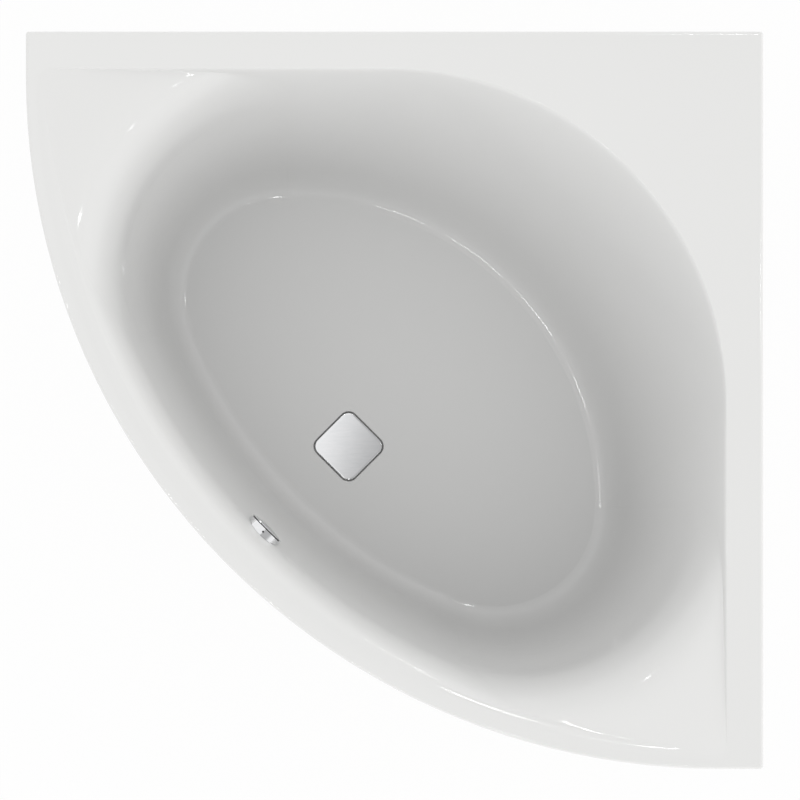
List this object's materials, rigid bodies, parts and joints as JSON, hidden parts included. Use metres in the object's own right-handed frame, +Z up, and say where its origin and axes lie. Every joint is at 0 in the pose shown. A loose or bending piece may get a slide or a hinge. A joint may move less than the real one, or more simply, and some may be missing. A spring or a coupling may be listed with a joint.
{
  "type": "corner bathtub",
  "caption": "White corner bathtub with a quarter-round front, diagonal oval basin, arm rests, square pop-up waste cover, overflow control knob, drain trap and adjustable feet.",
  "frame": {"origin": "centre of the plan square on the floor, under the foot pads", "axes": "+Z up; +X towards the right wall, +Y towards the back wall; the quarter-round front faces -X -Y"},
  "size_m": [1.4, 1.4, 0.61],
  "materials": {
    "sanitary_acrylic": "gloss",
    "glass_fibre": "rough resin",
    "plywood": "raw",
    "softwood": "raw",
    "zinc_plated_steel": "satin",
    "foot_plastic": "matt",
    "chrome_plate": "polished",
    "stainless_steel": "satin",
    "sealing_rubber": "matt",
    "white_plastic": "satin",
    "grey_plastic": "satin",
    "cable_sheath": "satin"
  },
  "bodies": {
    "tub": {"acrylic_shell": "sanitary_acrylic", "glass_fibre_backing": "glass_fibre", "base_board": "plywood", "corner_board": "plywood", "rim_batten_back": "softwood", "rim_batten_right": "softwood", "support_rail_left": "zinc_plated_steel", "support_rail_right": "zinc_plated_steel", "corner_post": "zinc_plated_steel", "post_top_plate": "zinc_plated_steel", "threaded_sleeves": "zinc_plated_steel", "lock_nuts": "zinc_plated_steel", "wall_bracket_1": "zinc_plated_steel", "wall_bracket_2": "zinc_plated_steel", "wall_bracket_3": "zinc_plated_steel", "wall_bracket_4": "zinc_plated_steel", "rail_screws": "zinc_plated_steel", "post_screws": "zinc_plated_steel", "bracket_screws": "zinc_plated_steel", "overflow_rosette": "chrome_plate", "waste_flange": "stainless_steel", "waste_seal_upper": "sealing_rubber", "waste_seal_lower": "sealing_rubber", "overflow_gasket": "sealing_rubber", "waste_body": "white_plastic", "overflow_body": "white_plastic", "overflow_pipe": "white_plastic", "trap_body": "white_plastic", "outlet_pipe": "white_plastic", "lever_housing": "grey_plastic", "housing_lid": "grey_plastic", "drum_lid": "grey_plastic", "pipe_nut_top": "grey_plastic", "pipe_nut_bottom": "grey_plastic", "trap_nut": "grey_plastic", "trap_cap": "grey_plastic", "outlet_coupling": "grey_plastic", "cable_clips": "grey_plastic", "control_cable": "cable_sheath"},
    "knob": {"overflow_knob": "chrome_plate", "knob_shaft": "zinc_plated_steel", "cable_drum": "grey_plastic"},
    "plug": {"plug_cover": "chrome_plate", "plug_valve": "stainless_steel", "plug_seal": "sealing_rubber"},
    "lever": {"lift_lever": "grey_plastic"},
    "foot_1": {"foot_spindle_1": "zinc_plated_steel", "foot_pad_1": "foot_plastic"},
    "foot_2": {"foot_spindle_2": "zinc_plated_steel", "foot_pad_2": "foot_plastic"},
    "foot_3": {"foot_spindle_3": "zinc_plated_steel", "foot_pad_3": "foot_plastic"},
    "foot_4": {"foot_spindle_4": "zinc_plated_steel", "foot_pad_4": "foot_plastic"},
    "foot_5": {"foot_spindle_5": "zinc_plated_steel", "foot_pad_5": "foot_plastic"}
  },
  "joints": [
    {"name": "knob_turn", "type": "hinge", "parent": "tub", "child": "knob", "pos_m": [-0.25017, -0.25017, 0.515], "axis": [0.7071, 0.7071, 0], "range_deg": [0, 75]},
    {"name": "plug_lift", "type": "slide", "parent": "tub", "child": "plug", "axis": [0, 0, 1], "range_m": [0, 0.01]},
    {"name": "lever_swing", "type": "hinge", "parent": "tub", "child": "lever", "pos_m": [-0.07268, -0.07268, 0.131], "axis": [-0.7071, 0.7071, 0], "range_deg": [0, 24]},
    {"name": "foot_1_height", "type": "slide", "parent": "tub", "child": "foot_1", "axis": [0, 0, 1], "range_m": [-0.015, 0.02]},
    {"name": "foot_2_height", "type": "slide", "parent": "tub", "child": "foot_2", "axis": [0, 0, 1], "range_m": [-0.015, 0.02]},
    {"name": "foot_3_height", "type": "slide", "parent": "tub", "child": "foot_3", "axis": [0, 0, 1], "range_m": [-0.015, 0.02]},
    {"name": "foot_4_height", "type": "slide", "parent": "tub", "child": "foot_4", "axis": [0, 0, 1], "range_m": [-0.015, 0.02]},
    {"name": "foot_5_height", "type": "slide", "parent": "tub", "child": "foot_5", "axis": [0, 0, 1], "range_m": [-0.015, 0.02]}
  ],
  "couplings": [
    {"joint": "plug_lift", "follows": "knob_turn", "m_per_rad": 0.0076394},
    {"joint": "lever_swing", "follows": "knob_turn", "ratio": 0.32}
  ]
}
